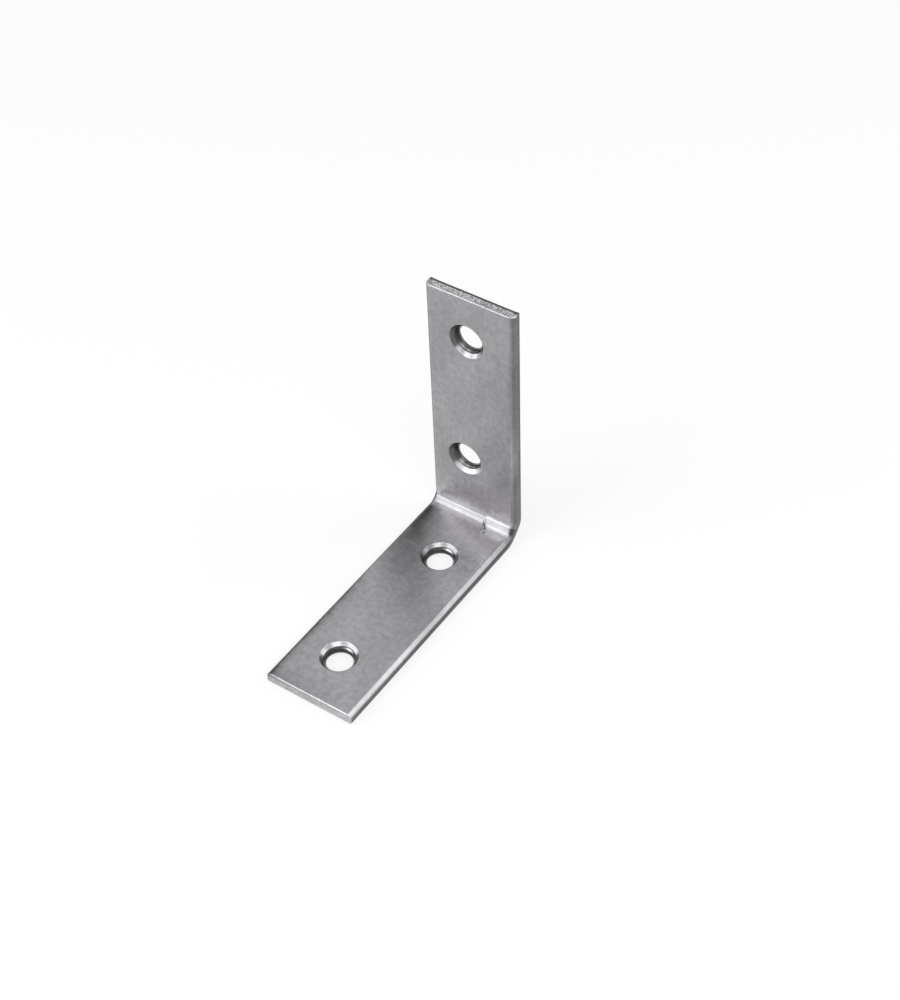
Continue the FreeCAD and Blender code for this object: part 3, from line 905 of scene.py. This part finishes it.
fine = add_node(tree, "ShaderNodeBump",
                {"Height": crystals, "Strength": 0.2, "Distance": CRYSTAL_HEIGHT})
lines = add_node(tree, "ShaderNodeBump",
                 {"Height": rolling_lines, "Strength": 0.15, "Distance": LINE_HEIGHT,
                  "Normal": fine.outputs["Normal"]})
tree.links.new(lines.outputs["Normal"], shader.inputs["Normal"])

mesh.materials.append(zinc)
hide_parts("corner_brace")
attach(brace, "root")
print("nodes in the finish:", len(tree.nodes))

# %% [markdown]
# ## Floor and light
#
# The brace was photographed on plain white. A large pale floor takes its soft
# shadow, and lies a little below the brace so that the two don't coincide. More
# lamps could make the floor white, but they would burn out the metal. So the
# floor and the sky are white by themselves, only as the camera and the metal's
# reflections see them.

# %% Make the floor
FLOOR_REACH = 3.0
FLOOR_DROP = 0.2 * MM
WHITE_SHARE = 0.75          # how much of the floor is white by itself; the rest keeps the shadow


def seen_directly(tree):
    """1 where the camera or a reflection looks, and 0 for scattered light."""
    ray = add_node(tree, "ShaderNodeLightPath")
    return combine(tree, "MAXIMUM", ray.outputs["Is Camera Ray"], ray.outputs["Is Glossy Ray"])


floor_mesh = bpy.data.meshes.new("floor")
corners = [(x * FLOOR_REACH, y * FLOOR_REACH, 0) for x, y in ((-1, -1), (1, -1), (1, 1), (-1, 1))]
floor_mesh.from_pydata(corners, [], [(0, 1, 2, 3)])
floor = bpy.data.objects.new("floor", floor_mesh)
floor.location.z = -FLOOR_DROP
bpy.context.scene.collection.objects.link(floor)
paper = bpy.data.materials.new("white_paper")
paper.use_nodes = True
sheet = paper.node_tree
sheet_shader = sheet.nodes["Principled BSDF"]
sheet_shader.inputs["Base Color"].default_value = (0.95, 0.95, 0.95, 1)
sheet_shader.inputs["Roughness"].default_value = 0.9
sheet_shader.inputs["Specular IOR Level"].default_value = 0.1
white = add_node(sheet, "ShaderNodeEmission", {"Strength": 1.0})
mixed = add_node(sheet, "ShaderNodeMixShader",
                 {0: combine(sheet, "MULTIPLY", seen_directly(sheet), WHITE_SHARE),
                  1: sheet_shader.outputs["BSDF"], 2: white.outputs["Emission"]})
sheet.links.new(mixed.outputs["Shader"], sheet.nodes["Material Output"].inputs["Surface"])
floor_mesh.materials.append(paper)
print("floor side, m:", 2 * FLOOR_REACH)

# %% Make the sky
SKY_ON_THINGS, SKY_SEEN = 0.45, 1.0     # strength as a light, and as it is seen

world = bpy.data.worlds.new("studio")
bpy.context.scene.world = world
world.use_nodes = True
sky = world.node_tree
strength = remap(sky, seen_directly(sky), 0, 1, SKY_ON_THINGS, SKY_SEEN)
sky.nodes["Background"].inputs["Color"].default_value = (1, 1, 1, 1)
sky.links.new(strength, sky.nodes["Background"].inputs["Strength"])
print("nodes in the sky:", len(sky.nodes))

# %% [markdown]
# Metal shows lamps as bright shapes, so small lamps would give it hard spots.
# Four large soft ones stand round the brace instead. The one at the front left
# lights the tool's mark in the fold, the low one beside it the screw sinks, the
# one over the camera the rubbed edge of the base leg, and the one at the back
# right the upright's rounded edge.

# %% Make the four soft lamps
LAMP_AIM = Vector((0, 0.01, 0.015))


def add_softbox(name, towards, distance, width, height, radiance):
    """A flat lamp that faces the brace. Its power follows from how bright its
    face is to look at: power = radiance x pi x area."""
    light = bpy.data.lights.new(name, "AREA")
    light.shape = "RECTANGLE"
    light.size, light.size_y = width, height
    light.energy = radiance * math.pi * width * height
    lamp = bpy.data.objects.new(name, light)
    bpy.context.scene.collection.objects.link(lamp)
    direction = Vector(towards).normalized()
    lamp.location = direction * distance + LAMP_AIM
    lamp.rotation_euler = direction.to_track_quat("Z", "Y").to_euler()
    lamp.visible_camera = False
    print(name, "power in watts:", round(light.energy, 3))


add_softbox("front_left", (-0.41, -0.66, 0.62), distance=0.60, width=0.34, height=0.66, radiance=2.3)
add_softbox("low_left", (-0.88, -0.42, 0.24), distance=0.62, width=0.34, height=0.26, radiance=2.4)
add_softbox("over_camera", (0.50, -0.46, 0.70), distance=0.62, width=0.44, height=0.34, radiance=2.8)
add_softbox("back_right", (0.64, 0.58, 0.50), distance=0.60, width=0.34, height=0.60, radiance=1.9)

# %% [markdown]
# ## The camera
#
# The photograph looks down on the brace at about 45 degrees, from 36 degrees
# round to its right, with a long lens. Its lens was also shifted sideways. A
# shifted camera would fit it more closely, but would put the brace out of the
# picture from every other side, so this one looks straight at its aim.

# %% Place the camera
AZIMUTH, ELEVATION, ROLL_ANGLE = math.radians(36.08), math.radians(45.09), math.radians(-2.433)
DISTANCE = 0.33922
LENS = 73.44

aim = Vector((0.00202, 0.01319, 0.015))
back_to_camera = Vector((math.sin(AZIMUTH) * math.cos(ELEVATION),
                         -math.cos(AZIMUTH) * math.cos(ELEVATION), math.sin(ELEVATION)))
camera_data = bpy.data.cameras.new("camera")
camera_data.lens = LENS
camera_data.clip_start = 0.01
camera = bpy.data.objects.new("camera", camera_data)
bpy.context.scene.collection.objects.link(camera)
camera.location = aim + back_to_camera * DISTANCE
camera.rotation_euler = (back_to_camera.to_track_quat("Z", "Y").to_matrix()
                         @ Matrix.Rotation(ROLL_ANGLE, 3, "Z")).to_euler()
bpy.context.scene.camera = camera
bpy.context.scene.view_settings.view_transform = "Standard"
print("camera at", [round(value, 4) for value in camera.location])
